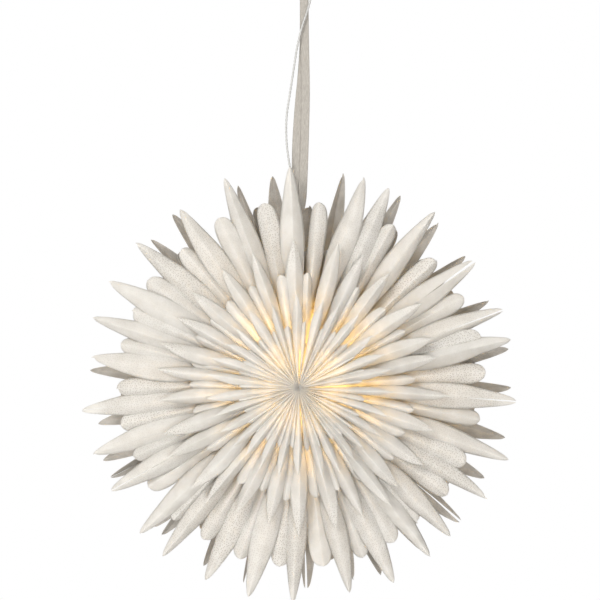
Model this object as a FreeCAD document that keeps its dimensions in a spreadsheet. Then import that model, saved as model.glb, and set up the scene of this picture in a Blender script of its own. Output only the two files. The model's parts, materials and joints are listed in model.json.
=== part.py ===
"""Paper snowflake star: a fan of flat paper bags, opened in a full circle round a lamp.

Frame: +Z up, the front faces -Y, X to the right seen from the front. The origin is the inner top
of the ribbon's loop, where a hook holds the star. Directions round the star are in degrees,
counted anticlockwise from +X as seen from the front. Millimetres throughout.
"""

import FreeCAD
import Part
import math
import os
import Sketcher

from FreeCAD import Placement, Rotation, Vector

# ---------------------------------------------------------------- driving dimensions

SIZES = {
    # place of the star under its hook
    "star_drop": 640,
    "star_shift": 4,
    # outline of the bags: tip radii of the three rows, pointed and rounded
    "point_tip_one": 300,
    "point_tip_two": 203,
    "point_tip_three": 126,
    # how far in front of the middle plane each row's tips and notches are
    "front_depth": 100,
    "tip_depth_one": 42,
    "tip_depth_two": 66,
    "tip_depth_three": 89,
    "notch_depth_one": 17,
    "notch_depth_two": 52,
    "notch_depth_three": 77,
    # radii of the notches between the rows
    "point_notch_one": 194,
    "point_notch_two": 128,
    "point_notch_three": 80,
    "round_notch_one": 184,
    "round_notch_two": 108,
    "round_notch_three": 60,
    # bellies of the pointed tips, on their back edges
    "point_belly_one": 252,
    "point_belly_two": 166.5,
    "point_belly_three": 103.6,
    "belly_depth_one": 23,
    "belly_depth_two": 54.6,
    "belly_depth_three": 80.6,
    # shoulders of the rounded tips, and their outermost points
    "round_shoulder_one": 249,
    "round_shoulder_two": 154,
    "round_shoulder_three": 85,
    "shoulder_depth_one": 29,
    "shoulder_depth_two": 54,
    "shoulder_depth_three": 79,
    "round_tip_one": 254,
    "round_tip_two": 159,
    "round_tip_three": 88,
    "round_depth_one": 35.5,
    "round_depth_two": 60,
    "round_depth_three": 84,
    # middle of the bags
    "inner_radius": 8,
    "hollow_depth": 74.57,
    "hollow_across_one": 33.4,
    "hollow_depth_one": 69.4,
    "hollow_across_two": 60.2,
    "hollow_depth_two": 48,
    "hollow_across_three": 75.1,
    "hollow_depth_three": 17.1,
    "bag_angle": 0.3,
    "wedge_start": 4,
    "wedge_end": 310,
    # seam at the top, between the two end covers
    "seam_angle": 0.8,
    "cover_angle": 0.6,
    "cover_inner": 77,
    "cover_outer": 176,
    "cover_depth": 38,
    "cover_tab_depth": 10,
    "cover_tab_top": 222,
    "cord_slot_depth": 3.5,
    "cord_slot_top": 130,
    "ribbon_slot_low": 206,
    "ribbon_slot_high": 209.5,
    "ribbon_slot_depth": 6.6,
    "magnet_radius": 5,
    "magnet_thickness": 1.9,
    "magnet_place": 150,
    "magnet_spread": 28,
    # lamp bracket
    "bracket_level": 50,
    "bracket_sheet": 0.8,
    "bracket_radius": 16,
    "bracket_bore": 5.15,
    "tongue_near": 8,
    "tongue_far": 15,
    "tongue_top": 100,
    "rivet_place": 91,
    "rivet_radius": 1.5,
    "rivet_head_radius": 2.6,
    "rivet_head": 0.45,
    "rivet_depth": 0.9,
    # lamp holder, its nipple, nut and cord grip
    "nipple_radius": 5,
    "nipple_bore": 3,
    "nipple_top": 54,
    "nipple_bottom": 40,
    "nut_across": 14,
    "nut_height": 3.2,
    "holder_radius": 13.5,
    "holder_inside": 11.7,
    "cap_bottom": 34,
    "cap_ceiling": 47.5,
    "cap_top_radius": 9,
    "cap_top_inside": 7.5,
    "shell_shoulder": 6,
    "holder_mouth": 4,
    "shell_lip_radius": 12.3,
    "shell_mouth_radius": 9.2,
    "core_radius": 11.6,
    "core_top": 33,
    "core_bottom": 28,
    "contact_radius": 2,
    "contact_level": 22.5,
    "contact_height": 10.5,
    "screw_radius": 7.3,
    "screw_bore": 6.9,
    "screw_level": 5,
    "screw_depth": 23,
    "grip_radius": 5.6,
    "grip_tip_radius": 2.4,
    "grip_length": 17,
    # bulb
    "bulb_radius": 22.5,
    "bulb_glass": 0.7,
    "bulb_middle": -27.5,
    "bulb_neck_radius": 8.5,
    "bulb_neck_level": 3,
    "bulb_cap_radius": 6.6,
    "bulb_cap_length": 19,
    # ribbon and cord
    "ribbon_width": 11.5,
    "ribbon_thickness": 0.9,
    "cord_diameter": 3,
    "coil_inner": 11.5,
    "coil_outer": 25,
    "coil_half_height": 8,
    "coil_level": 586,
    "coil_across": 4,
    "coil_back": 16,
    # the tie round the coil and the ribbon, and the one round the coil and the plug
    "tie_width": 4,
    "tie_sheet": 0.8,
    "tie_left": 5,
    "tie_right": 32.8,
    "tie_front": 5.6,
    "tie_back": 27.6,
    "tie_low": 582,
    "plug_tie_front": 6,
    "plug_tie_back": 40.5,
    "plug_tie_low": 592,
    "plug_tie_high": 617,
    # plug
    "plug_front_end": 27,
    "plug_waist_end": 14,
    "plug_rear_end": 8,
    "plug_half_width": 13,
    "plug_rear_half_width": 7,
    "plug_thickness": 13.6,
    "plug_rounding": 2.5,
    "plug_back": 32.5,
    "plug_level": 605,
    "relief_length": 5,
    "relief_radius": 4,
    "relief_tip_radius": 2.2,
    "pin_radius": 2,
    "pin_length": 19,
    "pin_rounding": 1.5,
    "pin_half_spacing": 9.3,
}

# the ribbon's run round the left cover's slot and over the hook: across, back, up from the star's
# centre, and how far its width is turned from X towards Y, in degrees
RIBBON_UP = (
    (-3.95, 0, 208.85, 90),
    (-2.2, 0, 208.9, 90),
    (-0.9, 0, 210.6, 90),
    (-0.5, 0, 216, 90),
    (-0.1, 0, 226, 84),
    (0.8, -0.5, 238, 60),
    (1.8, -1, 252, 28),
    (2.8, -1.2, 272, 8),
    (3.9, -1.2, 301, 0),
    (5.5, -1.2, 353, 0),
    (6.4, -1.2, 407, 0),
    (5.2, -1.2, 480, 0),
    (4.3, -1.5, 560, 0),
)
RIBBON_DOWN = (
    (4.1, 1.5, 560, 0),
    (3.9, 1.3, 474, 0),
    (1.2, 1, 428, 0),
    (-3.2, 0.6, 381, 0),
    (-6.2, 0.1, 335, 0),
    (-7, 0, 304, 0),
    (-7.2, 0, 272, 14),
    (-7.4, 0, 252, 42),
    (-7.6, 0, 236, 72),
    (-7.7, 0, 222, 90),
    (-7.6, 0, 214, 90),
    (-7.1, 0, 210.3, 90),
    (-5.8, 0, 208.9, 90),
    (-4.05, 0, 208.85, 90),
)
HOOK_RADIUS = 6
LOOP_STEPS = 8

# how far the sides of the coil's section bow out
COIL_BOW = 1

# the cord's route from its grip, up through the seam and along the ribbon into the coil, and from
# the coil into the plug: across, back, up from the star's centre
CORD_ROUTE = (
    (0, 0, 71),
    (0.4, 0.6, 104),
    (-0.2, -0.8, 138),
    (0, -5, 170),
    (0.2, -9.6, 202),
    (-3, -12, 236),
    (-9, -12.6, 268),
    (-16.2, -12, 302),
    (-20.6, -11, 336),
    (-20.4, -10, 368),
    (-15.2, -8.6, 400),
    (-10, -7.6, 434),
    (-5.2, -7, 466),
    (1, -6.6, 492),
    (8.4, -6.4, 512),
    (14.2, -5.6, 534),
    (20.5, -2, 554),
    (26.5, 4, 570),
    (28, 10, 584),
)
TAIL_ROUTE = (
    (28, 21.5, 578),
    (30, 25, 591),
    (28.5, 29, 602),
    (21, 31.8, 608),
    (13, 32.5, 605.5),
)

# where each glued pair of bags stands when the star is open, from the first to the last
PAIR_DIRECTIONS = (
    106, 120, 135, 148, 159, 170, 183, 195.5, 206, 218, 228, 240.5, 253.5, 265.5,
    279.5, 291.5, 303.5, 312, 325, 337.5, 352, 368, 377.5, 391.5, 407, 422, 431.5,
)  # fmt: skip

TOP = 90
FULL_TURN = 360

doc = FreeCAD.newDocument("paper_star")
sheet = doc.addObject("Spreadsheet::Sheet", "Sizes")
for row, (alias, value) in enumerate(SIZES.items(), start=1):
    sheet.set(f"A{row}", alias)
    sheet.set(f"B{row}", str(value))
    sheet.setAlias(f"B{row}", alias)
for number, direction in enumerate(PAIR_DIRECTIONS, start=1):
    row = len(SIZES) + number
    sheet.set(f"A{row}", f"direction_{number:02d}")
    sheet.set(f"B{row}", str(direction))
    sheet.setAlias(f"B{row}", f"direction_{number:02d}")
doc.recompute()


def size(alias):
    return float(sheet.get(alias))


CENTRE = Vector(-size("star_shift"), 0, -size("star_drop"))
sub_parts = []


def keep(piece, label):
    """Names a finished sub-part and lists it for export."""
    piece.Label = label
    sub_parts.append(piece)
    return piece


def at_star(piece, up="0", across="0", back="0"):
    """Puts a piece at the star's centre, raised, moved across and moved back by expressions."""
    piece.setExpression("Placement.Base.x", f"-Sizes.star_shift + ({across})")
    piece.setExpression("Placement.Base.y", back)
    piece.setExpression("Placement.Base.z", f"-Sizes.star_drop + ({up})")


def face_direction(piece, expression):
    """Turns a piece about the star's axis to a direction, and puts it at the star's centre."""
    piece.Placement = Placement(CENTRE, Rotation(Vector(0, -1, 0), 1))
    piece.setExpression("Placement.Rotation.Angle", expression)
    at_star(piece)


# ---------------------------------------------------------------- sketch helpers


def plane_of(body, role):
    return next(f for f in body.Origin.OriginFeatures if f.Role == role)


def new_sketch(body, name, role="XY_Plane"):
    sketch = body.newObject("Sketcher::SketchObject", name)
    sketch.AttachmentSupport = (plane_of(body, role), [""])
    sketch.MapMode = "FlatFace"
    return sketch


def value_of(cell):
    """The number in a cell, negative if its name is written with a minus sign."""
    return -size(cell[1:]) if cell.startswith("-") else size(cell)


def tie_to_sheet(sketch, point, cells):
    """Binds a point's distances from the sketch's two axes to two cells."""
    for kind, cell in zip(("DistanceX", "DistanceY"), cells):
        number = value_of(cell)
        ends = (-1, 1, *point) if number > 0 else (*point, -1, 1)
        index = sketch.addConstraint(Sketcher.Constraint(kind, *ends, abs(number)))
        sketch.setExpression(f"Constraints[{index}]", "Sizes." + cell.lstrip("-"))


def outline(sketch, corners):
    """Adds a closed outline. A corner is (across, along, bow): the two cells that place it, and how
    far the edge that starts there bows out to the right of its run, 0 for a straight edge. An arc
    that bows to the left counts its ends the other way round."""
    base = sketch.GeometryCount
    places = [Vector(value_of(across), value_of(along), 0) for across, along, _ in corners]
    starts = [2 if bow < 0 else 1 for _, _, bow in corners]
    for n, (_, _, bow) in enumerate(corners):
        start = places[n]
        end = places[(n + 1) % len(places)]
        edge = Part.LineSegment(start, end)
        if bow:
            run = end - start
            side = Vector(run.y, -run.x, 0).normalize()
            edge = Part.Arc(start, (start + end) * 0.5 + side * bow, end)
        sketch.addGeometry(edge, False)
    for n, (across, along, bow) in enumerate(corners):
        after = (n + 1) % len(corners)
        ends = (base + n, 3 - starts[n], base + after, starts[after])
        sketch.addConstraint(Sketcher.Constraint("Coincident", *ends))
        tie_to_sheet(sketch, (base + n, starts[n]), (across, along))
        if bow:
            radius = sketch.Geometry[base + n].Radius
            sketch.addConstraint(Sketcher.Constraint("Radius", base + n, radius))


def both_halves(half):
    """The whole outline of a bag or cover from its front half, which runs outwards from the axis:
    the back half is its mirror image, run the other way."""
    back = []
    for n in range(len(half) - 1, -1, -1):
        across, along, _ = half[n]
        bow = half[n - 1][2] if n else 0
        back.append((across, along.lstrip("-"), bow))
    return half + back


def wedge(name, corners, angle_cell, ahead, holes=None):
    """A thin flat-faced wedge about the star's axis: an outline in the plane of direction 0, padded
    and kept between that plane and one turned from it. It lies ahead of it, anticlockwise, or
    behind it."""
    sketch = doc.addObject("Sketcher::SketchObject", name + "_outline")
    outline(sketch, corners)
    if holes:
        holes(sketch)
    slab = doc.addObject("Part::Extrusion", name + "_slab")
    slab.Base = sketch
    slab.DirMode = "Normal"
    slab.Solid = True
    slab.Symmetric = True
    slope = f"tan(Sizes.{angle_cell})"
    slab.setExpression("LengthFwd", f"2 * Sizes.wedge_end * {slope}")
    sector = doc.addObject("Part::Wedge", name + "_sector")
    sector.setExpression("Ymin", "Sizes.wedge_start")
    sector.setExpression("Ymax", "Sizes.wedge_end")
    sign, far, middle = ("", "max", "min") if ahead else ("-", "min", "max")
    for prefix, place in (("X", "wedge_start"), ("X2", "wedge_end")):
        sector.setExpression(prefix + far, f"{sign}Sizes.{place} * {slope}")
        setattr(sector, prefix + middle, 0)
    for prefix in ("Z", "Z2"):
        sector.setExpression(prefix + "min", "-Sizes.front_depth - 1")
        sector.setExpression(prefix + "max", "Sizes.front_depth + 1")
    sector.Placement = Placement(Vector(), Rotation(Vector(1, 1, 1), -120))
    card = doc.addObject("Part::Common", name)
    card.Base = slab
    card.Tool = sector
    return card


# ---------------------------------------------------------------- paper bags and covers


def bag_half(kind):
    """Front half of a bag's outline: three rows of tips, each further out and further back."""
    half = [("inner_radius", "-front_depth", 0)]
    for row in ("three", "two", "one"):
        if kind == "point":
            half.append((f"point_tip_{row}", f"-tip_depth_{row}", 0))
            half.append((f"point_belly_{row}", f"-belly_depth_{row}", 0))
        else:
            half.append((f"round_shoulder_{row}", f"-tip_depth_{row}", 0))
            half.append((f"round_tip_{row}", f"-round_depth_{row}", 0))
            half.append((f"round_shoulder_{row}", f"-shoulder_depth_{row}", 0))
        half.append((f"{kind}_notch_{row}", f"-notch_depth_{row}", 0))
    return half


def bag(kind, ahead):
    """One flat bag, with a cut in its inner edge for the lamp, nearly half round."""
    hollow = [("inner_radius", "hollow_depth", 0)]
    hollow += [(f"hollow_across_{n}", f"hollow_depth_{n}", 0) for n in ("one", "two", "three")]
    hollow += [(f"hollow_across_{n}", f"-hollow_depth_{n}", 0) for n in ("three", "two", "one")]
    hollow.append(("inner_radius", "-hollow_depth", 0))
    return wedge(f"{kind}_bag", hollow + both_halves(bag_half(kind)), "bag_angle", ahead)


def make_bags():
    """The first bag alone, 27 glued pairs, and the last bag alone."""
    pointed = bag("point", True)
    rounded = bag("round", False)
    doc.recompute()
    first = doc.addObject("Part::Compound", "bag_first")
    first.Links = [pointed]
    face_direction(first, f"{TOP} + Sizes.seam_angle + Sizes.cover_angle")
    keep(first, "bag_first")
    for number in range(1, len(PAIR_DIRECTIONS) + 1):
        name = f"bag_pair_{number:02d}"
        pair = doc.addObject("Part::Compound", name)
        pair.Links = [pointed, rounded]
        face_direction(pair, f"Sizes.direction_{number:02d}")
        keep(pair, name)
    last = doc.addObject("Part::Compound", "bag_last")
    last.Links = [rounded]
    face_direction(last, f"{TOP} - Sizes.seam_angle - Sizes.cover_angle")
    keep(last, "bag_last")


def cover_corners(tab):
    """Outline of an end cover: a card with a slot for the cord, and a tab above if it holds the
    ribbon."""
    half = [("cover_inner", "-cover_depth", 0), ("cover_outer", "-cover_depth", 0)]
    if tab:
        half.append(("cover_outer", "-cover_tab_depth", 0))
        half.append(("cover_tab_top", "-cover_tab_depth", 0))
    slot = [
        ("cover_inner", "cord_slot_depth", 0),
        ("cord_slot_top", "cord_slot_depth", 0),
        ("cord_slot_top", "-cord_slot_depth", 0),
        ("cover_inner", "-cord_slot_depth", 0),
    ]
    return both_halves(half) + slot


def ribbon_slot(sketch):
    corners = [
        ("ribbon_slot_low", "-ribbon_slot_depth", 0),
        ("ribbon_slot_high", "-ribbon_slot_depth", 0),
        ("ribbon_slot_high", "ribbon_slot_depth", 0),
        ("ribbon_slot_low", "ribbon_slot_depth", 0),
    ]
    outline(sketch, corners)


def rivet_holes(sketch):
    middle = (size("tongue_near") + size("tongue_far")) / 2
    for side in (-1, 1):
        place = Vector(size("rivet_place"), side * middle, 0)
        circle = sketch.addGeometry(Part.Circle(place, Vector(0, 0, 1), size("rivet_radius")), False)
        index = sketch.addConstraint(Sketcher.Constraint("Radius", circle, size("rivet_radius")))
        sketch.setExpression(f"Constraints[{index}]", "Sizes.rivet_radius")
        index = sketch.addConstraint(Sketcher.Constraint("DistanceX", -1, 1, circle, 3, place.x))
        sketch.setExpression(f"Constraints[{index}]", "Sizes.rivet_place")
        ends = (-1, 1, circle, 3) if side > 0 else (circle, 3, -1, 1)
        index = sketch.addConstraint(Sketcher.Constraint("DistanceY", *ends, middle))
        half_way = "(Sizes.tongue_near + Sizes.tongue_far) / 2"
        sketch.setExpression(f"Constraints[{index}]", half_way)


def left_holes(sketch):
    ribbon_slot(sketch)
    rivet_holes(sketch)


def make_covers():
    left = wedge("left_card", cover_corners(True), "cover_angle", True, left_holes)
    face_direction(left, f"{TOP} + Sizes.seam_angle")
    keep(left, "cover_left")
    right = wedge("right_card", cover_corners(False), "cover_angle", False)
    face_direction(right, f"{TOP} - Sizes.seam_angle")
    keep(right, "cover_right")


def cylinder(name, radius, height, base="0"):
    """An upright cylinder on the Z axis, its sizes given as expressions."""
    piece = doc.addObject("Part::Cylinder", name)
    piece.setExpression("Radius", radius)
    piece.setExpression("Height", height)
    piece.setExpression("Placement.Base.z", base)
    return piece


def group(name, pieces):
    compound = doc.addObject("Part::Compound", name)
    compound.Links = pieces
    return compound


def make_magnets():
    """Two disc magnets on each cover, which meet across the seam and hold it shut."""
    for side, base, direction in (
        ("left", "-Sizes.magnet_thickness", f"{TOP} + Sizes.seam_angle"),
        ("right", "0", f"{TOP} - Sizes.seam_angle"),
    ):
        discs = []
        for place, sign in (("front", "-"), ("back", "")):
            name = f"{side}_magnet_{place}"
            disc = cylinder(name, "Sizes.magnet_radius", "Sizes.magnet_thickness", base)
            disc.setExpression("Placement.Base.x", "Sizes.magnet_place")
            disc.setExpression("Placement.Base.y", f"{sign}Sizes.magnet_spread")
            discs.append(disc)
        pair = group(f"{side}_magnets", discs)
        face_direction(pair, direction)
        keep(pair, f"cover_magnets_{side}")


# ---------------------------------------------------------------- lamp


def cut(name, base, tool):
    piece = doc.addObject("Part::Cut", name)
    piece.Base = base
    piece.Tool = tool
    return piece


def fuse(name, pieces):
    piece = doc.addObject("Part::MultiFuse", name)
    piece.Shapes = pieces
    return piece


def tube(name, radius, bore, height, base="0"):
    outer = cylinder(name + "_outside", radius, height, base)
    inner = cylinder(name + "_bore", bore, f"({height}) + 2", f"({base}) - 1")
    return cut(name, outer, inner)


def make_bracket():
    """A stamped steel plate across the lamp's nipple, with two tongues riveted to the left cover."""
    level = "Sizes.bracket_level"
    plate = tube("plate", "Sizes.bracket_radius", "Sizes.bracket_bore", "Sizes.bracket_sheet", level)
    at_star(plate)
    tongues = []
    heads = []
    for place, sign in (("front", -1), ("back", 1)):
        tongue = doc.addObject("Part::Box", f"tongue_{place}")
        tongue.setExpression("Length", "Sizes.tongue_top - Sizes.bracket_level")
        tongue.setExpression("Width", "Sizes.tongue_far - Sizes.tongue_near")
        tongue.setExpression("Height", "Sizes.bracket_sheet")
        tongue.setExpression("Placement.Base.x", level)
        near = "Sizes.tongue_near" if sign > 0 else "-Sizes.tongue_far"
        tongue.setExpression("Placement.Base.y", near)
        tongue.setExpression("Placement.Base.z", "-Sizes.bracket_sheet")
        tongues.append(tongue)
        middle = f"{sign} * (Sizes.tongue_near + Sizes.tongue_far) / 2"
        length = "Sizes.bracket_sheet + Sizes.rivet_depth"
        shank = cylinder(f"shank_{place}", "Sizes.rivet_radius", length, "-Sizes.bracket_sheet")
        base = "-Sizes.bracket_sheet - Sizes.rivet_head"
        head = cylinder(f"head_{place}", "Sizes.rivet_head_radius", "Sizes.rivet_head", base)
        for piece in (shank, head):
            piece.setExpression("Placement.Base.x", "Sizes.rivet_place")
            piece.setExpression("Placement.Base.y", middle)
        heads.append(fuse(f"rivet_{place}", [shank, head]))
    rivets = group("rivets", heads)
    drilled = cut("tongues", group("tongue_pair", tongues), group("drills", heads))
    face_direction(drilled, f"{TOP} + Sizes.seam_angle")
    face_direction(rivets, f"{TOP} + Sizes.seam_angle")
    keep(rivets, "bracket_rivets")
    keep(fuse("bracket", [plate, drilled]), "lamp_bracket")


def turned(name, corners):
    """A body of revolution about Z from (radius, height) cell pairs, all heights from the star's
    centre. Corners are pairs of cell names."""
    body = doc.addObject("PartDesign::Body", name)
    sketch = new_sketch(body, name + "_profile", "XZ_Plane")
    outline(sketch, corners)
    turn = body.newObject("PartDesign::Revolution", name + "_turn")
    turn.Profile = sketch
    turn.ReferenceAxis = (sketch, ["V_Axis"])
    turn.Angle = FULL_TURN
    at_star(body)
    return body


def make_lamp_holder():
    nipple_height = "Sizes.nipple_top - Sizes.nipple_bottom"
    nipple = tube("nipple", "Sizes.nipple_radius", "Sizes.nipple_bore", nipple_height)
    at_star(nipple, up="Sizes.nipple_bottom")
    keep(nipple, "holder_nipple")

    hexagon = doc.addObject("Part::Prism", "hexagon")
    hexagon.Polygon = 6
    hexagon.setExpression("Circumradius", "Sizes.nut_across / sqrt(3)")
    hexagon.setExpression("Height", "Sizes.nut_height")
    hole = cylinder("nut_hole", "Sizes.nipple_radius", "Sizes.nut_height + 2", "-1")
    nut = cut("nut", hexagon, hole)
    at_star(nut, up="Sizes.bracket_level + Sizes.bracket_sheet")
    keep(nut, "nipple_nut")

    cap = turned(
        "holder_cap",
        [
            ("nipple_radius", "bracket_level", 0),
            ("cap_top_radius", "bracket_level", -3),
            ("holder_radius", "cap_bottom", 0),
            ("holder_inside", "cap_bottom", 2.5),
            ("cap_top_inside", "cap_ceiling", 0),
            ("nipple_radius", "cap_ceiling", 0),
        ],
    )
    keep(cap, "holder_cap")

    shell = turned(
        "holder_shell",
        [
            ("holder_radius", "cap_bottom", 0),
            ("holder_radius", "shell_shoulder", -0.4),
            ("shell_lip_radius", "holder_mouth", 0),
            ("shell_mouth_radius", "holder_mouth", 0),
            ("shell_mouth_radius", "shell_shoulder", 0),
            ("holder_inside", "shell_shoulder", 0),
            ("holder_inside", "cap_bottom", 0),
        ],
    )
    keep(shell, "holder_shell")

    core = turned(
        "holder_core",
        [
            ("contact_radius", "core_top", 0),
            ("contact_radius", "core_bottom", 0),
            ("core_radius", "core_bottom", 0),
            ("core_radius", "core_top", 0),
        ],
    )
    keep(core, "holder_core")

    contact = cylinder("contact", "Sizes.contact_radius", "Sizes.contact_height")
    at_star(contact, up="Sizes.contact_level")
    keep(contact, "holder_contact")

    sleeve = tube("sleeve", "Sizes.screw_radius", "Sizes.screw_bore", "Sizes.screw_depth")
    at_star(sleeve, up="Sizes.screw_level")
    keep(sleeve, "screw_sleeve")

    grip = doc.addObject("Part::Cone", "grip_cone")
    grip.setExpression("Radius1", "Sizes.grip_radius")
    grip.setExpression("Radius2", "Sizes.grip_tip_radius")
    grip.setExpression("Height", "Sizes.grip_length")
    bore = cylinder("grip_bore", "Sizes.cord_diameter / 2", "Sizes.grip_length + 2", "-1")
    grip = cut("grip", grip, bore)
    at_star(grip, up="Sizes.nipple_top")
    keep(grip, "cord_grip")


def bulb_form(name, inset, above):
    """The form of the bulb's glass, inset by an expression and run on above its neck."""
    ball = doc.addObject("Part::Sphere", name + "_ball")
    ball.setExpression("Radius", f"Sizes.bulb_radius - {inset}")
    height = f"Sizes.bulb_neck_level - Sizes.bulb_middle + {above}"
    neck = cylinder(name + "_neck", f"Sizes.bulb_neck_radius - {inset}", height)
    return fuse(name, [ball, neck])


def make_bulb():
    """A glass globe, open at its neck, and the screw cap that it is cemented into."""
    outside = bulb_form("glass_outside", "0", "0")
    inside = bulb_form("glass_inside", "Sizes.bulb_glass", "1")
    globe = cut("globe", outside, inside)
    at_star(globe, up="Sizes.bulb_middle")
    keep(globe, "bulb_globe")
    screw = cylinder("bulb_screw", "Sizes.bulb_cap_radius", "Sizes.bulb_cap_length")
    at_star(screw, up="Sizes.bulb_neck_level")
    keep(screw, "bulb_cap")


# ---------------------------------------------------------------- ribbon, cord and plug


def star_points(route):
    return [CENTRE + Vector(*point[:3]) for point in route]


def hook_loop():
    """The ribbon's half turn over the hook, from its front strand to its back one."""
    radius = HOOK_RADIUS + size("ribbon_thickness") / 2
    level = size("star_drop") - HOOK_RADIUS
    across = size("star_shift")
    steps = [math.pi * n / LOOP_STEPS for n in range(LOOP_STEPS + 1)]
    return tuple(
        (across, -radius * math.cos(turn), level + radius * math.sin(turn), 0) for turn in steps
    )


def ribbon_section(place, run, turn):
    """The ribbon's rectangular cross-section, square to its run, its width turned towards Y."""
    flat = Vector(math.cos(math.radians(turn)), math.sin(math.radians(turn)), 0)
    wide = (flat - run * flat.dot(run)).normalize() * (size("ribbon_width") / 2)
    thick = run.cross(wide).normalize() * (size("ribbon_thickness") / 2)
    corners = [wide + thick, thick - wide, -wide - thick, wide - thick]
    points = [place + corner for corner in corners]
    return Part.makePolygon(points + points[:1])


def make_ribbon():
    stations = RIBBON_UP + hook_loop() + RIBBON_DOWN
    places = star_points(stations)
    sections = []
    for n, place in enumerate(places):
        before = places[max(n - 1, 0)]
        after = places[min(n + 1, len(places) - 1)]
        sections.append(ribbon_section(place, (after - before).normalize(), stations[n][3]))
    ribbon = doc.addObject("Part::Feature", "ribbon")
    ribbon.Shape = Part.makeLoft(sections, True, True)
    keep(ribbon, "ribbon")
    length = sum(a.distanceToPoint(b) for a, b in zip(places, places[1:]))
    print(f"ribbon {length:.0f} mm long, volume {ribbon.Shape.Volume:.0f}")


def rounded_path(points):
    """Straight runs joined by tangent arcs, each as large as its two runs allow."""
    edges = []
    start = points[0]
    radii = []
    for before, corner, after in zip(points, points[1:], points[2:]):
        back = before - corner
        ahead = after - corner
        tangent = 0.45 * min(back.Length, ahead.Length)
        half_turn = (math.pi - back.getAngle(ahead)) / 2
        radius = tangent / math.tan(half_turn)
        radii.append(radius)
        back.normalize()
        ahead.normalize()
        first = corner + back * tangent
        last = corner + ahead * tangent
        inward = (back + ahead).normalize()
        middle = corner + inward * (radius / math.cos(half_turn) - radius)
        edges.append(Part.LineSegment(start, first).toShape())
        edges.append(Part.Arc(first, middle, last).toShape())
        start = last
    edges.append(Part.LineSegment(start, points[-1]).toShape())
    return Part.Wire(edges), radii


def cord_tube(route, label):
    points = star_points(route)
    path, radii = rounded_path(points)
    radius = size("cord_diameter") / 2
    ring = Part.Wire(Part.makeCircle(radius, points[0], points[1] - points[0]))
    tube = doc.addObject("Part::Feature", label)
    tube.Shape = path.makePipeShell([ring], True, False)
    keep(tube, label)
    expected = math.pi * radius**2 * path.Length
    print(f"{label}: {path.Length:.0f} mm, volume {tube.Shape.Volume / expected:.4f} of expected")
    print("  radii", [round(r) for r in radii])


def make_coil():
    """The wound part of the cord, as one ring."""
    coil = doc.addObject("PartDesign::Body", "coil")
    sketch = new_sketch(coil, "coil_section")
    outline(
        sketch,
        [
            ("coil_inner", "-coil_half_height", COIL_BOW),
            ("coil_outer", "-coil_half_height", COIL_BOW),
            ("coil_outer", "coil_half_height", COIL_BOW),
            ("coil_inner", "coil_half_height", COIL_BOW),
        ],
    )
    turn = coil.newObject("PartDesign::Revolution", "coil_turn")
    turn.Profile = sketch
    turn.ReferenceAxis = (sketch, ["V_Axis"])
    turn.Angle = FULL_TURN
    at_star(coil, up="Sizes.coil_level", across="Sizes.coil_across", back="Sizes.coil_back")
    keep(coil, "cord_coil")

def band(name, lengths, open_along):
    """A band of tie strip: a box of three outer lengths, hollowed right through along one axis."""
    boxes = []
    for part in ("outside", "inside"):
        box = doc.addObject("Part::Box", f"{name}_{part}")
        for side, axis, length in zip(("Length", "Width", "Height"), "xyz", lengths):
            if part == "outside":
                box.setExpression(side, length)
            elif axis == open_along:
                box.setExpression(side, f"{length} + 2")
                box.setExpression(f"Placement.Base.{axis}", "-1")
            else:
                box.setExpression(side, f"{length} - 2 * Sizes.tie_sheet")
                box.setExpression(f"Placement.Base.{axis}", "Sizes.tie_sheet")
        boxes.append(box)
    return cut(name, *boxes)


def make_ties():
    """Two strips: one holds the coil to the ribbon, and one holds the plug to the coil."""
    across = "Sizes.tie_left + Sizes.tie_right"
    tie = band("tie", (across, "Sizes.tie_front + Sizes.tie_back", "Sizes.tie_width"), "z")
    at_star(tie, up="Sizes.tie_low", across="-Sizes.tie_left", back="-Sizes.tie_front")
    keep(tie, "coil_tie")
    back = "Sizes.plug_tie_back - Sizes.plug_tie_front"
    height = "Sizes.plug_tie_high - Sizes.plug_tie_low"
    tie = band("second_tie", ("Sizes.tie_width", back, height), "x")
    left = "Sizes.coil_across - Sizes.tie_width / 2"
    at_star(tie, up="Sizes.plug_tie_low", across=left, back="Sizes.plug_tie_front")
    keep(tie, "plug_tie")


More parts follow.
